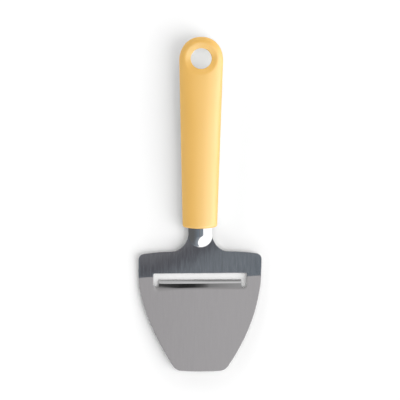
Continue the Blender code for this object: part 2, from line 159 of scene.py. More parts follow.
# Handle
HANDLE_MOUTH_WIDTH = 0.0251
HANDLE_END_WIDTH = 0.0319
HANDLE_END_LENGTH = 0.0175
HANDLE_END_POWER = 2.15
HANDLE_SECTION_POWER = 2.15
HANDLE_TOP = 0.0202
BACK_CREST_FROM_END = 0.027
BACK_RADIUS = 1.70
BELLY_FROM_MOUTH = 0.0345
BELLY_RADIUS = 0.550
END_EDGE_LENGTH = 0.009
MOUTH_EDGE_RADIUS = 0.0018
MOUTH_INNER_EDGE = 0.0003
MOUTH_DOME = 0.0014
MOUTH_DOME_LENGTH = 0.012
WALL = 0.0022
CAVITY_END_LENGTH = 0.008
CAVITY_TO_DISH = 0.0030
PATCH_REACH = 0.017

# Hanging hole and its dish
HOLE_FROM_END = 0.01584
HOLE_RADIUS = 0.0076
HOLE_EDGE_RADIUS = 0.0006
DISH_RADIUS = 0.01185
DISH_SLOPE = math.radians(10.5)
DISH_SOFTNESS = 0.0009
DISH_SHOULDER = 0.0012

# Places along Y
TIP_Y = -(PLATE_LENGTH + NECK_LENGTH + HANDLE_LENGTH) / 2
SHOULDER_Y = TIP_Y + PLATE_LENGTH
MOUTH_Y = SHOULDER_Y + NECK_LENGTH
END_Y = MOUTH_Y + HANDLE_LENGTH
BEND_Y = SHOULDER_Y - BEND_FROM_SHOULDER
SLOT_TOP_Y = SHOULDER_Y - SLOT_FROM_SHOULDER
EDGE_Y = SLOT_TOP_Y - SLOT_GAP
LIP_ROOT_Y = EDGE_Y - LIP_LENGTH
BEAD_END_Y = SHOULDER_Y + BEAD_END_FROM_SHOULDER + BEAD_WIDTH / 2
TANG_BEND_Y = MOUTH_Y + TANG_BEND_DEPTH
TANG_END_Y = MOUTH_Y + TANG_LENGTH
HOLE_Y = END_Y - HOLE_FROM_END
CAVITY_END_Y = HOLE_Y - DISH_RADIUS - CAVITY_TO_DISH
PATCH_Y = HOLE_Y - PATCH_REACH

# Camera: straight above, from far away, so that the view is almost parallel
CAMERA_DISTANCE = 4.0
VIEW_WIDTH = 0.292
VIEW_CENTRE = (-0.00015, 0.0032)

# Floor
FLOOR_WIDTH = 6.0
FLOOR_Z = -0.0002
FLOOR_WHITE = 0.97

# Light, as radiance or as the brightness that it gives a white surface that faces it
COVE = 1.85
KEY = 0.50
TOP = 0.26
SOFTBOX = 1.22
SOFTBOX_WAY = (0.520, -0.745, 0.4185)
FRONT_GLOSS = 13.0
LOW_GLOSS = 12.0
RIGHT_GLOSS = 15.5

# What the steel mirrors. The first of two or more is the one on the left.
ROOM = ((0.215, 0.216, 0.232), (0.112, 0.113, 0.130), (0.238, 0.264, 0.294))
BEAD_ROOM = ((0.115, 0.117, 0.121), (0.172, 0.207, 0.248))
PANEL = ((0.525, 0.511, 0.517), (0.598, 0.584, 0.590))
PANEL_FAR = (0.45, 0.44, 0.44)
WALL_GREYS = (0.07, 0.022, 0.09, 0.30, 0.44)
STRIP_GREYS = (0.74, 0.92)
STRIP_FAR = 0.25
GROUND_GREY = 0.34
SOFTBOX_RIM = (0.193, 0.228, 0.269)
SOFTBOX_GLOW = (0.283, 0.310, 0.345)

# Finishes: plastic, then steel
HANDLE_YELLOW = ((0.785, 0.450, 0.101), (0.810, 0.466, 0.107))
CORE_YELLOW = ((0.70, 0.41, 0.10), (0.72, 0.43, 0.11))
THROWN_GREY = (0.46, 0.44, 0.41)
SHEEN = (0.58, 0.97, 1.0)
PLASTIC_GRAIN = 5200.0
STEEL_STREAKS = ((0.541, 0.539, 0.542), (0.699, 0.696, 0.701))
# Paler steel on the bead, so that its reflection is brighter: a painted highlight
BEAD_HIGHLIGHT_STEEL = (0.90, 0.90, 0.90)
THROWN_STEEL = (0.50, 0.495, 0.49)
STEEL_ROUGHNESS = 0.10
POLISHED_BY = 0.05
BEAD_POLISH_AND_HIGHLIGHT_REACH = 0.0001
BEAD_POLISH_AND_HIGHLIGHT_FADE = 0.0004
LIP_POLISH = 0.5
LIP_POLISH_REACH = 0.0006
BAND_STREAKS = 1.8
SPADE_STREAKS = 0.20
CROWN = 0.10
BAND_CROWN = 0.80
BAND_TWIST = 2.2
BAND_TWIST_Y = -0.0406
LIP_CROWN = 1.8
BRUSH_TILT = 0.0010


# Shapes


def ramp(distance, softness):
    """0 before the bend and distance after it, with a parabola across softness on each side."""
    blend = (np.clip(distance, -softness, softness) + softness) ** 2 / (4 * softness)
    return np.where(distance >= softness, distance, blend)


def arc(centre, radius, start, end):
    """Points from angle start to angle end about centre, both ends included."""
    widest = min(math.radians(3.0), 2 * math.acos(1 - 4e-6 / radius))
    angles = np.linspace(start, end, max(3, math.ceil(abs(end - start) / widest) + 1))
    return np.stack([centre[0] + radius * np.cos(angles), centre[1] + radius * np.sin(angles)], 1)


def angle_of(centre, point):
    return math.atan2(point[1] - centre[1], point[0] - centre[0])


def circles_meet(first, first_radius, second, second_radius):
    """Where two circles cross, on the right of the way from first to second."""
    dx = second[0] - first[0]
    dy = second[1] - first[1]
    apart = math.hypot(dx, dy)
    along = (apart**2 + first_radius**2 - second_radius**2) / (2 * apart)
    across = -math.sqrt(max(first_radius**2 - along**2, 0.0))
    return (
        first[0] + (along * dx - across * dy) / apart,
        first[1] + (along * dy + across * dx) / apart,
    )


def stepped_centre(centre, distance, turn):
    """Centre of the next arc of a chain, on the line through the point where the two arcs meet."""
    return (centre[0] + distance * math.cos(turn), centre[1] - distance * math.sin(turn))


def plate_outline():
    """Right half of the sheet's outline, from the end of the tang to the tip, as arcs in a chain."""
    half_tang = TANG_WIDTH / 2
    tang_corner = (half_tang - TANG_CORNER_RADIUS, TANG_END_Y - TANG_CORNER_RADIUS)
    taper_y = MOUTH_Y + TANG_SHOULDER_DEPTH
    flare = (NECK_WIDTH / 2 + FLARE_RADIUS, SHOULDER_Y + FLARE_START)
    shoulder = (SHOULDER_START_X, SHOULDER_Y - SHOULDER_RADIUS)
    fillet = circles_meet(
        flare, FLARE_RADIUS - FLARE_FILLET_RADIUS, shoulder, SHOULDER_RADIUS + FLARE_FILLET_RADIUS
    )
    side = (PLATE_WIDTH / 2 - SIDE_STRAIGHT_RADIUS, SHOULDER_Y - SIDE_STRAIGHT_START)
    corner = circles_meet(
        shoulder, SHOULDER_RADIUS - PLATE_CORNER_RADIUS,
        side, SIDE_STRAIGHT_RADIUS - PLATE_CORNER_RADIUS,
    )
    knee = stepped_centre(side, SIDE_STRAIGHT_RADIUS - SIDE_KNEE_RADIUS, SIDE_STRAIGHT_TURN)
    taper_angle = SIDE_STRAIGHT_TURN + SIDE_KNEE_TURN
    taper = stepped_centre(knee, SIDE_KNEE_RADIUS - SIDE_TAPER_RADIUS, taper_angle)
    tip = (0.0, TIP_Y + TIP_BOW_RADIUS)
    tip_corner = circles_meet(
        taper, SIDE_TAPER_RADIUS - TIP_CORNER_RADIUS, tip, TIP_BOW_RADIUS - TIP_CORNER_RADIUS
    )
    flare_end = angle_of(flare, fillet)
    return np.concatenate([
        arc(tang_corner, TANG_CORNER_RADIUS, math.pi / 2, 0.0),
        [(half_tang, taper_y + TANG_TAPER_LENGTH), (NECK_WIDTH / 2, taper_y)],
        arc(flare, FLARE_RADIUS, math.pi, flare_end % (2 * math.pi)),
        arc(fillet, FLARE_FILLET_RADIUS, flare_end, angle_of(fillet, shoulder))[1:],
        arc(shoulder, SHOULDER_RADIUS, angle_of(shoulder, fillet), angle_of(shoulder, corner))[1:],
        arc(corner, PLATE_CORNER_RADIUS, angle_of(shoulder, corner), angle_of(side, corner))[1:],
        arc(side, SIDE_STRAIGHT_RADIUS, angle_of(side, corner), -SIDE_STRAIGHT_TURN)[1:],
        arc(knee, SIDE_KNEE_RADIUS, -SIDE_STRAIGHT_TURN, -taper_angle)[1:],
        arc(taper, SIDE_TAPER_RADIUS, -taper_angle, angle_of(taper, tip_corner))[1:],
        arc(tip_corner, TIP_CORNER_RADIUS, angle_of(taper, tip_corner), angle_of(tip, tip_corner))[1:],
        arc(tip, TIP_BOW_RADIUS, angle_of(tip, tip_corner), -math.pi / 2)[1:],
    ])


def plane_height(x, y):
    """Upper face of the bent sheet without its bead and lip. The bend drifts at the two sides."""
    under_to_top = SHEET / math.cos(BAND_RISE)
    at_bend = SLICE_THICKNESS + under_to_top - math.tan(BAND_RISE) * (SLOT_TOP_Y - BEND_Y)
    from_bend = y - BEND_Y - BEND_END_DRIFT * (x / (PLATE_WIDTH / 2)) ** 5
    levelling = math.tan(BAND_RISE) - math.tan(TANG_RISE)
    return (
        at_bend
        + math.tan(BAND_RISE) * ramp(from_bend, BEND_SOFTNESS)
        + math.tan(SPADE_RISE) * ramp(-from_bend, BEND_SOFTNESS)
        - levelling * ramp(y - TANG_BEND_Y, TANG_BEND_SOFTNESS)
    )


def across_bead(x):
    """Distance from the bead's ridge, counted shorter on the right, where its flank is wider."""
    return np.where(x > 0.0, x / BEAD_RIGHT_FLANK, x)


def bead_height(x, y, inset):
    """Height of the bead, an arc that ends in a dome, or of its hollow underside for an inset."""
    foot = BEAD_WIDTH / 2
    radius = (foot**2 + BEAD_HEIGHT**2) / (2 * BEAD_HEIGHT) - inset
    from_ridge = np.hypot(across_bead(x), np.minimum(y - BEAD_END_Y, 0.0))
    rise = np.sqrt(np.maximum(radius**2 - from_ridge**2, 0.0)) - (radius - BEAD_HEIGHT)
    return ramp(rise - BEAD_FOOT_SOFTNESS, BEAD_FOOT_SOFTNESS)


def lip_bend(x):
    """Where the lip starts to slope down, and how soft its bend is there: softest at its left end."""
    lip = LIP_WIDTH / 2
    left_end = np.clip(1 - (x + lip) / LIP_LEFT_END, 0.0, 1.0)
    right_end = np.clip((x - LIP_RIGHT_END_X) / LIP_RIGHT_END, 0.0, 1.0)
    softness = LIP_BEND_SOFTNESS + (LIP_BEND_LEFT_SOFTNESS - LIP_BEND_SOFTNESS) * left_end
    line = LIP_ROOT_Y - LIP_ROOT_REACH
    line = line + LIP_ROOT_RIGHT_RAISE * right_end - LIP_ROOT_LEFT_DROP * left_end
    return line, softness + LIP_BEND_RIGHT_SOFTENING * right_end


def lip_drop(x, y):
    """How far the lip is pressed down: a soft bend at its root, then a straight slope that puts the
    cutting edge on the table. Beside the lip it fades out below the legs of the slot."""
    edge_y = EDGE_Y + LIP_SKEW * x
    edge_height = plane_height(x, edge_y) - SHEET / math.cos(SPADE_RISE)
    root, softness = lip_bend(x)
    drop = edge_height / (edge_y - root) * ramp(y - root, softness)
    beside = np.clip((np.abs(x) - LIP_WIDTH / 2) / LEG_WIDTH, 0.0, 1.0)
    fade = 1 - beside**2 * (3 - 2 * beside)
    return np.where(y < EDGE_Y + SLOT_GAP / 2, drop * fade, 0.0)


def sheet_faces(x, y):
    """Heights of the lower and upper face of the sheet over points in plan. The lip's upper face is
    ground to a bevel that gets a little steeper towards the edge."""
    plane = plane_height(x, y)
    step = 1e-4
    slope = (plane_height(x, y + step) - plane_height(x, y - step)) / (2 * step)
    drop = lip_drop(x, y)
    lower = plane - SHEET * np.sqrt(1 + slope**2) + bead_height(x, y, SHEET) - drop
    from_edge = EDGE_Y + LIP_SKEW * x - y
    down = np.clip(1 - from_edge / (BEVEL_LENGTH - BEVEL_SKEW * x), 0.0, 1.0)
    ground = (SHEET - EDGE_LAND) * down * (1 - BEVEL_HOLLOW / 2 + BEVEL_HOLLOW / 2 * down)
    ground = np.where(drop > 0.0, ground, 0.0)
    return lower, plane + bead_height(x, y, 0.0) - drop - ground


def drawn_in(outline, distance):
    """The outline moved inwards along its normals."""
    along = np.gradient(outline, axis=0)
    along /= np.hypot(along[:, 0], along[:, 1])[:, None]
    moved = outline + distance * np.stack([along[:, 1], -along[:, 0]], 1)
    moved[:, 0] = np.maximum(moved[:, 0], 0.0)
    return moved


def plate_rows(outline):
    """Values of y for the rows of the grid, close together where the sheet curves."""
    zones = (
        (TANG_END_Y, MOUTH_Y + 0.009, 0.003),
        (MOUTH_Y + 0.009, MOUTH_Y, 0.0005),
        (MOUTH_Y, SHOULDER_Y + 0.0018, 0.0002),
        (SHOULDER_Y + 0.0018, BEND_Y + 0.0022, 0.0008),
        (BEND_Y + 0.0022, LIP_ROOT_Y - 0.0020, 0.0002),
        (LIP_ROOT_Y - 0.0020, LIP_ROOT_Y - 0.0045, 0.0005),
        (LIP_ROOT_Y - 0.0045, TIP_Y + 0.002, 0.0015),
    )
    filled = [np.arange(high, low, -step) for high, low, step in zones]
    kept = [
        SLOT_TOP_Y + EDGE_ROUND, EDGE_Y - EDGE_ROUND, EDGE_Y - BEVEL_LENGTH,
        LIP_ROOT_Y - EDGE_ROUND, outline[0, 1], outline[-1, 1],
    ]
    inside = np.concatenate([outline[1:-1, 1]] + filled)
    inside = np.sort(inside[(inside < outline[0, 1]) & (inside > outline[-1, 1])])
    near = np.abs(inside[:, None] - np.array(kept)[None, :]).min(1) < ROW_GAP
    inside = inside[~near]
    spaced = inside[np.concatenate([[True], np.diff(inside) > ROW_GAP])]
    return np.sort(np.concatenate([spaced, kept]))[::-1]


def plate_columns(width, rows):
    """Values of x along each row, from the middle to the outline, with lines along the slot's
    legs."""
    lip = LIP_WIDTH / 2 - EDGE_ROUND
    outer = LIP_WIDTH / 2 + LEG_WIDTH + EDGE_ROUND
    at_root = np.interp(-LIP_ROOT_Y, -rows, width)
    scale = np.where(rows < LIP_ROOT_Y, width / at_root, 1.0)
    a = np.minimum(lip * scale, width * LIP_SHARE)[:, None]
    b = np.minimum(outer * scale, width * LEG_SHARE)[:, None]
    inner = a * np.linspace(0.0, 1.0, LIP_COLUMNS + 1)[None, :-1]
    legs = a + (b - a) * (1 - np.cos(np.linspace(0.0, math.pi, LEG_COLUMNS + 1)))[None, :-1] / 2
    wings = b + (width[:, None] - b) * np.linspace(0.0, 1.0, WING_COLUMNS + 1)[None, :]
    return np.concatenate([inner, legs, wings], 1)


def slot_shift(x, y):
    """How far rows move in y, so that they follow the slot's corners, its slightly slanted top and
    the round ends of its legs."""
    lip = LIP_WIDTH / 2 - EDGE_ROUND
    outer = LIP_WIDTH / 2 + LEG_WIDTH + EDGE_ROUND
    across = np.abs(x)
    corner = np.clip(across - (outer - SLOT_CORNER_RADIUS), 0.0, SLOT_CORNER_RADIUS)
    top = SLOT_CORNER_RADIUS - np.sqrt(SLOT_CORNER_RADIUS**2 - corner**2)
    top += SLOT_SLANT * np.clip(SLOT_LEVEL_X - x, 0.0, SLOT_LEVEL_X + outer)
    top *= np.clip(1 - (across - outer) / SLOT_FADE, 0.0, 1.0)
    top *= np.clip(1 - np.abs(y - SLOT_TOP_Y) / SLOT_FADE, 0.0, 1.0)
    radius = (outer - lip) / 2
    off = np.clip(across - (lip + radius), -radius, radius)
    leg = LEG_END_RAISE + radius - np.sqrt(radius**2 - off**2)
    leg *= np.clip(1 - np.maximum(lip - across, across - outer) / LEG_FADE_ACROSS, 0.0, 1.0)
    fade = np.where(y > LIP_ROOT_Y, LIP_LENGTH, LEG_FADE_BELOW)
    leg *= np.clip(1 - np.abs(y - LIP_ROOT_Y) / fade, 0.0, 1.0)
    on_lip = (across < lip + 1e-6) & (y < EDGE_Y + EDGE_ROUND)
    skew = LIP_SKEW * x * np.clip((y - LIP_ROOT_Y) / LIP_LENGTH, 0.0, 1.0) * on_lip
    return leg - top + skew


def shoulder_shift(x, y):
    """How far rows move in y near the shoulders, which are lifted towards their corners."""
    right = RIGHT_SHOULDER_LIFT * np.clip((x - RIGHT_LIFT_FROM) / RIGHT_LIFT_WIDTH, 0.0, 1.0)
    left = LEFT_SHOULDER_LIFT * np.clip((-x - LEFT_LIFT_FROM) / LEFT_LIFT_WIDTH, 0.0, 1.0)
    below = SHOULDER_Y - SHOULDER_LIFT_DEPTH - y
    return (right + left) * np.clip(1 - below / SHOULDER_LIFT_FADE, 0.0, 1.0)


def side_inset(x, y):
    """How far the sides of the sheet are drawn in: a bell over y beside the slot on the right, and
    another nearer the tip on the left."""
    right = RIGHT_SIDE_INSET * np.exp(-(((y - RIGHT_SIDE_Y) / RIGHT_SIDE_REACH) ** 2))
    left = LEFT_SIDE_INSET * np.exp(-(((y - LEFT_SIDE_Y) / LEFT_SIDE_REACH) ** 2))
    return np.where(x > 0.0, right, left)


def rounded_walls(points, starts, ends, depth, tip):
    """Walls from the upper rim to the lower rim of the free edges. Each rim is a quarter round: out
    by r sin t and down by r (1 - cos t), with r at most EDGE_ROUND and under half the depth there.
    The points of the row at the tip lie on one another and share their normal."""
    total = len(points) // 2
    along = points[ends, :2] - points[starts, :2]
    out = np.stack([along[:, 1], -along[:, 0]], 1)
    out /= np.maximum(np.hypot(along[:, 0], along[:, 1]), 1e-9)[:, None]
    shared = np.arange(total)
    shared[tip] = tip[0]
    normal = np.zeros((total, 2))
    np.add.at(normal, shared[starts], out)
    np.add.at(normal, shared[ends], out)
    rim = np.unique(starts)
    normal = normal[shared[rim]]
    normal /= np.maximum(np.hypot(normal[:, 0], normal[:, 1]), 1e-9)[:, None]
    radius = np.minimum(EDGE_ROUND, 0.45 * depth[rim])
    turn = np.linspace(0.0, math.pi / 2, 5)[1:]
    out_by = np.concatenate([np.sin(turn), np.sin(turn)[::-1]])[:, None] * radius[None, :]
    down_by = (1 - np.cos(turn))[:, None] * radius[None, :]
    height = np.concatenate([points[rim, 2] - down_by, (points[rim + total, 2] + down_by)[::-1]])
    place = points[rim, :2][None] + normal[None] * out_by[:, :, None]
    rings = np.concatenate([place, height[:, :, None]], 2)
    order = np.zeros(total, int)
    order[rim] = np.arange(len(rim))
    middle = len(points) + np.arange(len(rings))[:, None] * len(rim)
    first = np.concatenate([starts[None], middle + order[starts], (starts + total)[None]])
    second = np.concatenate([ends[None], middle + order[ends], (ends + total)[None]])
    walls = np.stack([second[:-1], first[:-1], first[1:], second[1:]], -1)
    return rings.reshape(-1, 3), walls.reshape(-1, 4)


def plate_mesh():
    """The sheet as a grid of rows and columns in plan, with the slot's cells left out, between its
    lower and its upper face, and rounded walls round every free edge."""
    outline = drawn_in(plate_outline(), EDGE_ROUND + FACET_DEPTH)
    rows = plate_rows(outline)
    half = plate_columns(np.interp(-rows, -outline[:, 1], outline[:, 0]), rows)
    x = np.concatenate([-half[:, :0:-1], half], 1)
    y = rows[:, None]
    towards_side = (np.abs(x) / half[:, -1:].clip(1e-6)) ** SIDE_INSET_POWER
    x = x - np.sign(x) * side_inset(x, y) * towards_side
    y = y + slot_shift(x, y) + shoulder_shift(x, y)
    lower, upper = sheet_faces(x, y)
    number = np.arange(x.size).reshape(x.shape)
    column = np.abs(np.arange(x.shape[1] - 1) + 0.5 - x.shape[1] // 2)[None, :]
    row_y = 0.5 * (rows[:-1] + rows[1:])[:, None]
    below_top = (row_y < SLOT_TOP_Y + EDGE_ROUND) & (column < LIP_COLUMNS + LEG_COLUMNS)
    in_bar = below_top & (row_y > EDGE_Y - EDGE_ROUND)
    in_leg = below_top & (row_y > LIP_ROOT_Y - EDGE_ROUND) & (column > LIP_COLUMNS)
    solid = ~(in_bar | in_leg)
    quads = np.stack([number[:-1, :-1], number[1:, :-1], number[1:, 1:], number[:-1, 1:]], -1)
    quads = quads[solid]
    starts = quads.reshape(-1)
    ends = np.roll(quads, -1, axis=1).reshape(-1)
    free = ~np.isin(starts * x.size + ends, ends * x.size + starts)
    points = np.concatenate([
        np.stack([x, y, upper], -1).reshape(-1, 3), np.stack([x, y, lower], -1).reshape(-1, 3)
    ])
    depth = (upper - lower).reshape(-1)
    rings, walls = rounded_walls(points, starts[free], ends[free], depth, number[-1])
    faces = np.concatenate([quads, quads[:, ::-1] + x.size, walls])
    used, renumbered = np.unique(faces, return_inverse=True)
    return np.concatenate([points, rings])[used], renumbered.reshape(faces.shape)


def handle_half_width(y):
    """Straight taper from the mouth to the hanging hole, then a superellipse round the end."""
    mouth = HANDLE_MOUTH_WIDTH / 2
    full = HANDLE_END_WIDTH / 2
    rounding = END_Y - HANDLE_END_LENGTH
    tapered = mouth + (full - mouth) * np.minimum((y - MOUTH_Y) / (rounding - MOUTH_Y), 1.0)
    share = np.clip((y - rounding) / HANDLE_END_LENGTH, 0.0, 1.0)
    return tapered * (1 - share**HANDLE_END_POWER) ** (1 / HANDLE_END_POWER)


def handle_top(y):
    return HANDLE_TOP - (y - (END_Y - BACK_CREST_FROM_END)) ** 2 / (2 * BACK_RADIUS)


def handle_belly(y):
    return (y - (MOUTH_Y + BELLY_FROM_MOUTH)) ** 2 / (2 * BELLY_RADIUS)


def handle_middle(y):
    return (handle_top(y) + handle_belly(y)) / 2


def handle_half_depth(y):
    """Half the depth of the section, which closes in an ellipse at the hanging end."""
    into_end = np.clip((y - (END_Y - END_EDGE_LENGTH)) / END_EDGE_LENGTH, 0.0, 1.0)
    return (handle_top(y) - handle_belly(y)) / 2 * np.sqrt(1 - into_end**2)


def mouth_bow(y):
    """The mouth bows towards the plate in its middle, and the bow fades out along the handle."""
    return MOUTH_DOME * np.clip(1 - (y - MOUTH_Y) / MOUTH_DOME_LENGTH, 0.0, 1.0)


def signed_power(value, power):
    return np.sign(value) * np.abs(value) ** power


def handle_rings(y, inset, share, turns):
    """Superellipse rings across the handle at y, drawn in by inset and then scaled by share: one
    row of the grid each."""
    y = y[:, None]
    inset = inset[:, None]
    share = share[:, None]
    c = np.cos(turns)[None, :]
    s = np.sin(turns)[None, :]
    x = share * (handle_half_width(y) - inset) * signed_power(c, 2 / HANDLE_SECTION_POWER)
    z = share * (handle_half_depth(y) - inset) * signed_power(s, 2 / HANDLE_SECTION_POWER)
    bowed = y + mouth_bow(y) * (x / handle_half_width(y)) ** 2
    return np.stack([x, bowed, handle_middle(y) + z], -1)


def surface_height(x, y, face):
    """Height of the handle's upper face (1) or lower face (-1) over points in plan."""
    across = np.clip(np.abs(x) / np.maximum(handle_half_width(y), 1e-9), 0.0, 1.0)
    rise = (1 - across**HANDLE_SECTION_POWER) ** (1 / HANDLE_SECTION_POWER)
    return handle_middle(y) + face * handle_half_depth(y) * rise


def grid_quads(rows, columns, first, closed):
    """Quads of a grid whose points are numbered row by row from first."""
    number = first + np.arange(rows * columns).reshape(rows, columns)
    if closed:
        number = np.concatenate([number, number[:, :1]], 1)
    quads = np.stack([number[:-1, :-1], number[:-1, 1:], number[1:, 1:], number[1:, :-1]], -1)
    return quads.reshape(-1, 4)


def handle_body(turns):
    """Rings from the patch round the hanging hole to the mouth, over its rounded edge, and back
    inside along the hollow to its blind end."""
    quarter = np.linspace(0.0, math.pi / 2, 9)
    outer_y = np.linspace(PATCH_Y, MOUTH_Y + MOUTH_EDGE_RADIUS, 110)
    edge_y = MOUTH_Y + MOUTH_EDGE_RADIUS * (1 - np.sin(quarter))[1:]
    edge_in = MOUTH_EDGE_RADIUS * (1 - np.cos(quarter))[1:]
    small_y = MOUTH_Y + MOUTH_INNER_EDGE * (1 - np.cos(quarter))
    small_in = WALL - MOUTH_INNER_EDGE * (1 - np.sin(quarter))
    hollow_y = np.linspace(MOUTH_Y + MOUTH_INNER_EDGE, CAVITY_END_Y - CAVITY_END_LENGTH, 30)[1:]
    blind_y = CAVITY_END_Y - CAVITY_END_LENGTH * (1 - np.sin(quarter))[1:]
    y = np.concatenate([outer_y, edge_y, small_y, hollow_y, blind_y])
    inset = np.concatenate([
        np.zeros_like(outer_y), edge_in, small_in, np.full(len(hollow_y) + len(blind_y), WALL)
    ])
    share = np.ones_like(y)
    share[-len(blind_y):] = np.cos(quarter)[1:]
    share[-1] = 0.0
    points = handle_rings(y, inset, share, turns)
    return points.reshape(-1, 3), len(y)


def end_patch(turns):
    """The hanging end as one grid. Its lines run from the outline, over the top, down the dish,
    through the hole, and back over the underside, and turn once round the hole."""
    full = HANDLE_END_WIDTH / 2
    rounding = END_Y - HANDLE_END_LENGTH
    rise = np.linspace(PATCH_Y, rounding, 26)[:-1]
    turn = np.linspace(0.0, math.pi / 2, 65)
    round_x = full * np.cos(turn) ** (2 / HANDLE_END_POWER)
    round_y = rounding + HANDLE_END_LENGTH * np.sin(turn) ** (2 / HANDLE_END_POWER)
    right_x = np.concatenate([handle_half_width(rise), round_x[:-1]])
    right_y = np.concatenate([rise, round_y[:-1]])
    across = turns[turns <= math.pi + 1e-9][::-1]
    width = float(handle_half_width(np.array(PATCH_Y)))
    line_x = width * signed_power(np.cos(across[1:-1]), 2 / HANDLE_SECTION_POWER)
    edge_x = np.concatenate([right_x, [0.0], -right_x[::-1], line_x])
    edge_y = np.concatenate([right_y, [END_Y], right_y[::-1], np.full_like(line_x, PATCH_Y)])
    reach = np.hypot(edge_x, edge_y - HOLE_Y)[:, None]
    way_x = edge_x[:, None] / reach
    way_y = (edge_y[:, None] - HOLE_Y) / reach

    rim = DISH_RADIUS + DISH_SHOULDER
    fade = np.cos(np.linspace(0.0, math.pi / 2, 27))[None, :-1]
    outer = rim + (reach - rim) * fade
    dish = np.linspace(rim, HOLE_RADIUS + HOLE_EDGE_RADIUS * (1 - math.sin(DISH_SLOPE)), 26)
    radius = np.concatenate([outer, np.broadcast_to(dish, (len(reach), len(dish)))], 1)
    seat = DISH_RADIUS + ramp(radius - DISH_RADIUS, DISH_SOFTNESS)
    sunk = math.tan(DISH_SLOPE) * ramp(DISH_RADIUS - radius, DISH_SOFTNESS)
    x = way_x * radius
    y = HOLE_Y + way_y * radius
    seat_x = way_x * seat
    seat_y = HOLE_Y + way_y * seat

    edge_turn = np.radians(np.linspace(90 + math.degrees(DISH_SLOPE), 180.0, 8))[None, 1:]
    centre = HOLE_RADIUS + HOLE_EDGE_RADIUS
    edge_radius = centre + HOLE_EDGE_RADIUS * np.cos(edge_turn) + 0 * reach
    sides = []
    for face in (1, -1):
        z = surface_height(seat_x, seat_y, face) - face * sunk
        centre_z = z[:, -1:] - face * HOLE_EDGE_RADIUS * math.cos(DISH_SLOPE)
        edge_z = centre_z + face * HOLE_EDGE_RADIUS * np.sin(edge_turn)
        side_x = np.concatenate([x, way_x * edge_radius], 1)
        side_y = np.concatenate([y, HOLE_Y + way_y * edge_radius], 1)
        sides.append(np.stack([side_x, side_y, np.concatenate([z, edge_z], 1)], -1))
    down = np.linspace(0.0, 1.0, 9)[1:-1, None]
    wall = sides[0][:, -1:, :] * (1 - down) + sides[1][:, -1:, :] * down
    return np.concatenate([sides[0], wall, sides[1][:, ::-1]], 1)


def handle_mesh():
    """The handle's body and its hanging end, which share the ring at the patch's start. Both lean
    to the right, in proportion to y."""
    turns = np.linspace(0.0, 2 * math.pi, 193)[:-1]
    body, rings = handle_body(turns)
    patch = end_patch(turns)
    faces = [
        grid_quads(rings, len(turns), 0, True),
        grid_quads(patch.shape[0] + 1, patch.shape[1], len(body), False),
    ]
    again = np.concatenate([patch, patch[:1]])
    points = np.concatenate([body, again.reshape(-1, 3)])
    points[:, 0] += HANDLE_LEAN * (points[:, 1] - HANDLE_LEAN_Y)
    return points, np.concatenate(faces)


def piece(name, points, faces, material, node, sharp):
    """A closed mesh with its doubled points merged and its normals outwards, which rides on the
    frame's one body and stands for a CAD node."""
    mesh = bpy.data.meshes.new(name)
    mesh.from_pydata(points.tolist(), [], faces)
    bm = bmesh.new()
    bm.from_mesh(mesh)
    bmesh.ops.remove_doubles(bm, verts=bm.verts[:], dist=1e-6)
    bmesh.ops.dissolve_degenerate(bm, edges=bm.edges[:], dist=1e-7)
    bmesh.ops.recalc_face_normals(bm, faces=bm.faces[:])
    bm.to_mesh(mesh)
    bm.free()
    mesh.shade_smooth()
    mesh.set_sharp_from_angle(angle=math.radians(sharp))
    mesh.materials.append(material)
    made = bpy.data.objects.new(name, mesh)
    bpy.context.scene.collection.objects.link(made)
    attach(made, "root")
    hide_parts(node)
    return made


# Materials


def add(tree, kind, **inputs):
    """A node with its inputs set: a number or colour is written in, an output is linked in."""
    made = tree.nodes.new(kind)
    for name, value in inputs.items():
        put(tree, made, name.replace("_", " "), value)
    return made


def put(tree, node, name, value):
    target = node.inputs[name] if not name.isdigit() else node.inputs[int(name)]
    if isinstance(value, bpy.types.NodeSocket):
        tree.links.new(value, target)
    else:
        target.default_value = value


def maths(tree, operation, first, second=0.0, third=0.0):
    made = tree.nodes.new("ShaderNodeMath")
    made.operation = operation
    for i, value in enumerate((first, second, third)):
        put(tree, made, str(i), value)
    return made.outputs[0]


def vector_maths(tree, operation, *vectors):
    made = tree.nodes.new("ShaderNodeVectorMath")
    made.operation = operation
    for i, vector in enumerate(vectors):
        put(tree, made, str(i), vector)
    return made.outputs["Vector"]


def attribute(tree, name):
    made = tree.nodes.new("ShaderNodeAttribute")
    made.attribute_name = name
    return made.outputs["Fac"]


def mapped(tree, value, low, high, new_low, new_high):
    """value from low..high to new_low..new_high with soft ends, held there outside."""
    made = tree.nodes.new("ShaderNodeMapRange")
    made.interpolation_type = "SMOOTHSTEP"
    put(tree, made, "Value", value)
    put(tree, made, "From Min", low)
    put(tree, made, "From Max", high)
    put(tree, made, "To Min", new_low)
    put(tree, made, "To Max", new_high)
    return made.outputs["Result"]


def new_material(name):
    made = bpy.data.materials.new(name)
    made.use_nodes = True
    return made, made.node_tree, made.node_tree.nodes["Principled BSDF"]


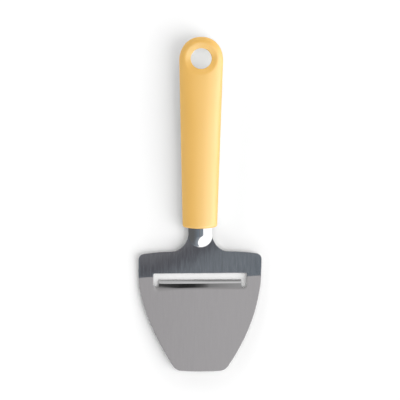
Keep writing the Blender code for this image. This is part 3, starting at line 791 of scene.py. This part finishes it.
def grain_group():
    """Fine grain of a moulded or ground surface: noise at a stated size, and a broad slow change."""
    group = bpy.data.node_groups.new("surface_grain", "ShaderNodeTree")
    for name, default in (("Across", 4000.0), ("Along", 4000.0), ("Broad", 60.0)):
        socket = group.interface.new_socket(name, in_out="INPUT", socket_type="NodeSocketFloat")
        socket.default_value = default
    group.interface.new_socket("Fine", in_out="OUTPUT", socket_type="NodeSocketFloat")
    group.interface.new_socket("Slow", in_out="OUTPUT", socket_type="NodeSocketFloat")
    entry = group.nodes.new("NodeGroupInput")
    leave = group.nodes.new("NodeGroupOutput")
    place = group.nodes.new("ShaderNodeTexCoord").outputs["Object"]
    across = entry.outputs["Across"]
    stretch = add(group, "ShaderNodeCombineXYZ", X=across, Y=entry.outputs["Along"], Z=across)
    scaled = vector_maths(group, "MULTIPLY", place, stretch.outputs[0])
    fine = add(group, "ShaderNodeTexNoise", Vector=scaled, Scale=1.0, Detail=2.0, Roughness=0.55)
    broad = entry.outputs["Broad"]
    slow = add(group, "ShaderNodeTexNoise", Vector=place, Scale=broad, Detail=3.0, Roughness=0.5)
    group.links.new(fine.outputs["Fac"], leave.inputs["Fine"])
    group.links.new(slow.outputs["Fac"], leave.inputs["Slow"])
    return group


def use_grain(tree, group, across, along, broad):
    made = tree.nodes.new("ShaderNodeGroup")
    made.node_tree = group
    made.inputs["Across"].default_value = across
    made.inputs["Along"].default_value = along
    made.inputs["Broad"].default_value = broad
    return made.outputs["Fine"], made.outputs["Slow"]


def tinted(tree, factor, low, high):
    """A colour between low and high by factor."""
    made = tree.nodes.new("ShaderNodeMix")
    made.data_type = "RGBA"
    tree.links.new(factor, made.inputs["Factor"])
    for socket, colour in ((6, low), (7, high)):
        if isinstance(colour, bpy.types.NodeSocket):
            tree.links.new(colour, made.inputs[socket])
        else:
            made.inputs[socket].default_value = (*colour, 1.0)
    return made.outputs[2]


def blended(tree, value, start, end, low, high):
    """A colour that goes softly from low at start to high at end."""
    return tinted(tree, mapped(tree, value, start, end, 0.0, 1.0), low, high)


def bumped(tree, height, strength, distance):
    made = add(tree, "ShaderNodeBump", Height=height, Strength=strength, Distance=distance)
    return made.outputs["Normal"]


def thrown(tree, seen, colour):
    """The colour that is seen, and another for the light that bounces on to matt surfaces."""
    rays = tree.nodes.new("ShaderNodeLightPath")
    return tinted(tree, rays.outputs["Is Diffuse Ray"], seen, colour)


def plastic(name, group, colours, roughness):
    """Satin moulded plastic: a fine even grain, slightly uneven gloss, and light that sinks in a
    little. What it throws on other surfaces is paler than what the eye sees."""
    made, tree, shader = new_material(name)
    fine, slow = use_grain(tree, group, across=PLASTIC_GRAIN, along=PLASTIC_GRAIN, broad=45.0)
    put(tree, shader, "Base Color", thrown(tree, tinted(tree, slow, *colours), THROWN_GREY))
    put(tree, shader, "Roughness", mapped(tree, slow, 0.3, 0.7, roughness - 0.03, roughness + 0.03))
    put(tree, shader, "Normal", bumped(tree, fine, 0.08, 0.00003))
    shader.inputs["Specular Tint"].default_value = (*SHEEN, 1.0)
    shader.inputs["Subsurface Weight"].default_value = 0.06
    shader.inputs["Subsurface Radius"].default_value = (1.0, 0.7, 0.4)
    shader.inputs["Subsurface Scale"].default_value = 0.001
    return made


def steel(name, group):
    """Stainless sheet brushed along its length, with long fine streaks and broader faint ones. The
    bead and the ground lip are smoother. The bead is also given a paler steel so that it mirrors the
    softbox brighter: a painted highlight. Sheet and lip are a little crowned and twisted, which only
    their reflections show: the lean of each point is added to the normal's X, and the brush marks
    tilt it a little both ways."""
    made, tree, shader = new_material(name)
    fine, _ = use_grain(tree, group, across=5500.0, along=110.0, broad=30.0)
    streak, _ = use_grain(tree, group, across=900.0, along=55.0, broad=30.0)
    smooth_and_highlight = attribute(tree, "polish_and_highlight")
    uneven = mapped(tree, streak, 0.25, 0.75, STEEL_ROUGHNESS - 0.010, STEEL_ROUGHNESS + 0.010)
    put(tree, shader, "Roughness", maths(tree, "MULTIPLY_ADD", smooth_and_highlight, -POLISHED_BY, uneven))
    centred = maths(tree, "SUBTRACT", streak, 0.5)
    shine = maths(tree, "MULTIPLY_ADD", centred, attribute(tree, "brushing"), 0.5)
    seen = tinted(tree, shine, *STEEL_STREAKS)
    # Painted highlight: the bead gets the paler steel, which brightens what it mirrors
    seen = blended(tree, smooth_and_highlight, 0.6, 1.0, seen, BEAD_HIGHLIGHT_STEEL)
    put(tree, shader, "Base Color", thrown(tree, seen, THROWN_STEEL))
    height = maths(tree, "MULTIPLY", fine, maths(tree, "MULTIPLY_ADD", smooth_and_highlight, -0.8, 1.0))
    brushed = bumped(tree, height, 0.3, 0.000002)
    marks = mapped(tree, streak, 0.25, 0.75, -BRUSH_TILT, BRUSH_TILT)
    marks = maths(tree, "MULTIPLY", marks, maths(tree, "SUBTRACT", 1.0, smooth_and_highlight))
    lean = maths(tree, "ADD", attribute(tree, "lean"), marks)
    sideways = add(tree, "ShaderNodeCombineXYZ", X=lean).outputs[0]
    crowned = vector_maths(tree, "ADD", brushed, sideways)
    put(tree, shader, "Normal", vector_maths(tree, "NORMALIZE", crowned))
    shader.inputs["Metallic"].default_value = 1.0
    return made


def polish_plate(made):
    """Values at each point. The first is all on the bead, half on the lip and else none: it makes the
    steel smoother, and on the bead it also makes the steel paler, which is a painted highlight. lean
    is how much the normal leans to the side, and brushing is how strong the streaks are."""
    mesh = made.data
    count = len(mesh.vertices)
    points = np.empty(3 * count)
    mesh.vertices.foreach_get("co", points)
    x, y, _ = points.reshape(-1, 3).T
    from_ridge = np.hypot(across_bead(x), np.minimum(y - BEAD_END_Y, 0.0))
    within = BEAD_WIDTH / 2 + BEAD_POLISH_AND_HIGHLIGHT_REACH - from_ridge
    bead = np.clip(within / BEAD_POLISH_AND_HIGHLIGHT_FADE, 0.0, 1.0)
    on_lip = np.abs(x) < LIP_WIDTH / 2 + 0.5 * LIP_POLISH_REACH
    on_lip &= (y < EDGE_Y + LIP_POLISH_REACH) & (y > LIP_ROOT_Y)
    polish_and_highlight = np.maximum(bead, LIP_POLISH * on_lip)
    on_band = y > BEND_Y
    band_lean = BAND_CROWN * (x - BAND_TWIST * (y - BAND_TWIST_Y)) * (1 - bead)
    lean = np.where(on_lip, LIP_CROWN * x, np.where(on_band, band_lean, CROWN * x))
    brushing = np.where(on_band, BAND_STREAKS, SPADE_STREAKS)
    for name, values in (("polish_and_highlight", polish_and_highlight), ("lean", lean), ("brushing", brushing)):
        layer = mesh.attributes.new(name, "FLOAT", "POINT")
        layer.data.foreach_set("value", values)


# The studio


def direction_mask(tree, way, centre, inner, outer):
    """1 inside an angle about a direction and 0 outside a wider one, in degrees."""
    dot = tree.nodes.new("ShaderNodeVectorMath")
    dot.operation = "DOT_PRODUCT"
    tree.links.new(way, dot.inputs[0])
    length = math.sqrt(sum(c * c for c in centre))
    dot.inputs[1].default_value = [c / length for c in centre]
    inner_dot = math.cos(math.radians(inner))
    outer_dot = math.cos(math.radians(outer))
    return mapped(tree, dot.outputs["Value"], outer_dot, inner_dot, 0.0, 1.0)


def band_mask(tree, value, start, end, soft):
    """1 where value is between start and end, with soft steps at both."""
    rising = mapped(tree, value, start - soft, start + soft, 0.0, 1.0)
    falling = mapped(tree, value, end - soft, end + soft, 1.0, 0.0)
    return maths(tree, "MULTIPLY", rising, falling)


def grey(level):
    return (level, level, level)


def mirrored_room(tree, side, along):
    """The room that the flat steel mirrors, by direction. From the tip to the hanging end it is a
    room with a darker middle, a pale panel, a wall that goes from dark on the left to grey on the
    right, a bright strip and a grey ground. The left of the room is what the bead mirrors."""
    room = blended(tree, side, -0.058, -0.040, ROOM[0], ROOM[1])
    room = blended(tree, side, -0.027, 0.009, room, ROOM[2])
    bead_room = blended(tree, side, -0.80, 0.0, *BEAD_ROOM)
    room = blended(tree, side, -0.115, -0.080, bead_room, room)
    pale = blended(tree, side, -0.014, 0.014, *PANEL)
    pale = blended(tree, along, 0.14, 0.38, pale, PANEL_FAR)
    colour = tinted(tree, band_mask(tree, along, -0.04, 0.70, 0.045), room, pale)
    wall = blended(tree, side, -0.035, 0.004, grey(WALL_GREYS[1]), grey(WALL_GREYS[2]))
    wall = blended(tree, side, -0.001, 0.021, wall, grey(WALL_GREYS[3]))
    wall = blended(tree, side, 0.015, 0.110, wall, grey(WALL_GREYS[4]))
    wall = blended(tree, side, -0.12, -0.05, grey(WALL_GREYS[0]), wall)
    colour = blended(tree, along, 0.37, 0.61, colour, wall)
    strip = blended(tree, side, -0.10, 0.0, grey(STRIP_GREYS[0]), grey(STRIP_GREYS[1]))
    strip = blended(tree, along, 0.806, 0.870, strip, grey(STRIP_FAR))
    colour = blended(tree, along, 0.72, 0.77, colour, strip)
    return blended(tree, along, 0.93, 0.97, colour, grey(GROUND_GREY))


def mirrored_softbox(tree, way, side, along, colour):
    """Adds what is bright in the mirror: a large softbox at the tip's side and a bright right side,
    with a rim round both and a glow round the softbox that ends towards the handle."""
    rim = direction_mask(tree, way, SOFTBOX_WAY, 46.5, 53.0)
    rim = maths(tree, "MAXIMUM", rim, mapped(tree, side, 0.22, 0.34, 0.0, 1.0))
    colour = tinted(tree, rim, colour, SOFTBOX_RIM)
    glow = direction_mask(tree, way, SOFTBOX_WAY, 44.0, 68.0)
    glow = maths(tree, "MULTIPLY", glow, mapped(tree, along, -0.45, -0.34, 1.0, 0.0))
    colour = tinted(tree, glow, colour, SOFTBOX_GLOW)
    light = direction_mask(tree, way, SOFTBOX_WAY, 43.2, 44.7)
    light = maths(tree, "MAXIMUM", light, mapped(tree, side, 0.345, 0.365, 0.0, 1.0))
    return tinted(tree, light, colour, grey(SOFTBOX))


def mixed(tree, factor, first, second):
    made = tree.nodes.new("ShaderNodeMixShader")
    tree.links.new(factor, made.inputs[0])
    tree.links.new(first.outputs[0], made.inputs[1])
    tree.links.new(second.outputs[0], made.inputs[2])
    return made


def studio_world():
    """White to the camera, and to matt surfaces a bright cove all round, low down and a little
    weaker at both sides. Gloss sees the room with its softbox."""
    world = bpy.data.worlds.new("studio")
    world.use_nodes = True
    tree = world.node_tree
    tree.nodes.clear()
    way = tree.nodes.new("ShaderNodeTexCoord").outputs["Generated"]
    split = add(tree, "ShaderNodeSeparateXYZ", Vector=way)
    side, along, up = (split.outputs[axis] for axis in "XYZ")
    colour = mirrored_room(tree, side, along)
    colour = mirrored_softbox(tree, way, side, along, colour)

    rays = tree.nodes.new("ShaderNodeLightPath")
    gloss = add(tree, "ShaderNodeBackground", Color=colour, Strength=1.0)
    cove = mapped(tree, up, 0.42, 0.62, COVE, 0.0)
    cove = maths(tree, "MULTIPLY", cove, mapped(tree, side, 0.62, 0.88, 1.0, 0.80))
    cove = maths(tree, "MULTIPLY", cove, mapped(tree, side, -0.60, -0.20, 0.8, 1.0))
    matt = add(tree, "ShaderNodeBackground", Color=(1.0, 1.0, 1.0, 1.0), Strength=cove)
    white = add(tree, "ShaderNodeBackground", Color=(1.0, 1.0, 1.0, 1.0), Strength=1.0)
    unseen = mixed(tree, rays.outputs["Is Glossy Ray"], matt, gloss)
    background = mixed(tree, rays.outputs["Is Camera Ray"], unseen, white)
    out = tree.nodes.new("ShaderNodeOutputWorld")
    tree.links.new(background.outputs[0], out.inputs["Surface"])
    bpy.context.scene.world = world


def lamp(name, power, way, spread, shine_on=None):
    """A broad soft lamp, far away in a direction. It lights matt surfaces only, or only shines on
    the gloss of the pieces in a collection: power is the brightness of a white surface that faces
    it, or the lamp's own brightness for gloss."""
    gloss = shine_on is not None
    data = bpy.data.lights.new(name, "SUN")
    data.energy = power * math.pi * (math.sin(math.radians(spread / 2)) ** 2 if gloss else 1.0)
    data.angle = math.radians(spread)
    made = bpy.data.objects.new(name, data)
    made.rotation_mode = "QUATERNION"
    made.rotation_quaternion = Vector(way).to_track_quat("Z", "Y")
    made.visible_glossy = gloss
    made.visible_diffuse = not gloss
    if gloss:
        made.light_linking.receiver_collection = shine_on
    bpy.context.scene.collection.objects.link(made)


def floor():
    """A white ground a hair under the slicer."""
    half = FLOOR_WIDTH / 2
    corners = [(-half, -half), (half, -half), (half, half), (-half, half)]
    mesh = bpy.data.meshes.new("floor")
    mesh.from_pydata([(x, y, FLOOR_Z) for x, y in corners], [], [(0, 1, 2, 3)])
    made, tree, shader = new_material("floor_white")
    shader.inputs["Base Color"].default_value = (*grey(FLOOR_WHITE), 1.0)
    shader.inputs["Roughness"].default_value = 0.9
    shader.inputs["Specular IOR Level"].default_value = 0.0
    mesh.materials.append(made)
    plane = bpy.data.objects.new("floor", mesh)
    bpy.context.scene.collection.objects.link(plane)


def camera():
    data = bpy.data.cameras.new("camera")
    data.sensor_width = 36.0
    data.lens = data.sensor_width * CAMERA_DISTANCE / VIEW_WIDTH
    data.clip_end = 20.0
    made = bpy.data.objects.new("camera", data)
    made.location = (*VIEW_CENTRE, CAMERA_DISTANCE)
    bpy.context.scene.collection.objects.link(made)
    bpy.context.scene.camera = made


grain = grain_group()
blade_steel = steel("blade_steel_brushed", grain)
handle_plastic = plastic("handle_plastic_satin", grain, HANDLE_YELLOW, 0.55)
core_plastic = plastic("core_plastic_moulded", grain, CORE_YELLOW, 0.5)

plate_points, plate_faces = plate_mesh()
plate = piece(
    "pressed_plate", plate_points, plate_faces.tolist(), blade_steel, "blade_plate", 35.0
)
polish_plate(plate)
handle_points, handle_faces = handle_mesh()
handle = piece(
    "yellow_handle", handle_points, handle_faces.tolist(), handle_plastic, "handle_shell",
    50.0
)
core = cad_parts["tang_core"]
for core_slot in core.material_slots:
    core_slot.material = core_plastic

satin_plastic = bpy.data.collections.new("satin_plastic")
satin_plastic.objects.link(handle)
satin_plastic.objects.link(core)

studio_world()
lamp("key_lamp", KEY, (0.587, -0.261, 0.766), 50.0)
lamp("top_lamp", TOP, (0.0, 0.0, 1.0), 54.0)
lamp("front_softbox", FRONT_GLOSS, (0.462, -0.551, 0.695), 48.0, satin_plastic)
lamp("low_softbox", LOW_GLOSS, (0.637, -0.759, 0.139), 38.0, satin_plastic)
lamp("right_softbox", RIGHT_GLOSS, (0.975, -0.17, 0.140), 40.0, satin_plastic)
floor()
camera()
bpy.context.scene.view_settings.view_transform = "Standard"
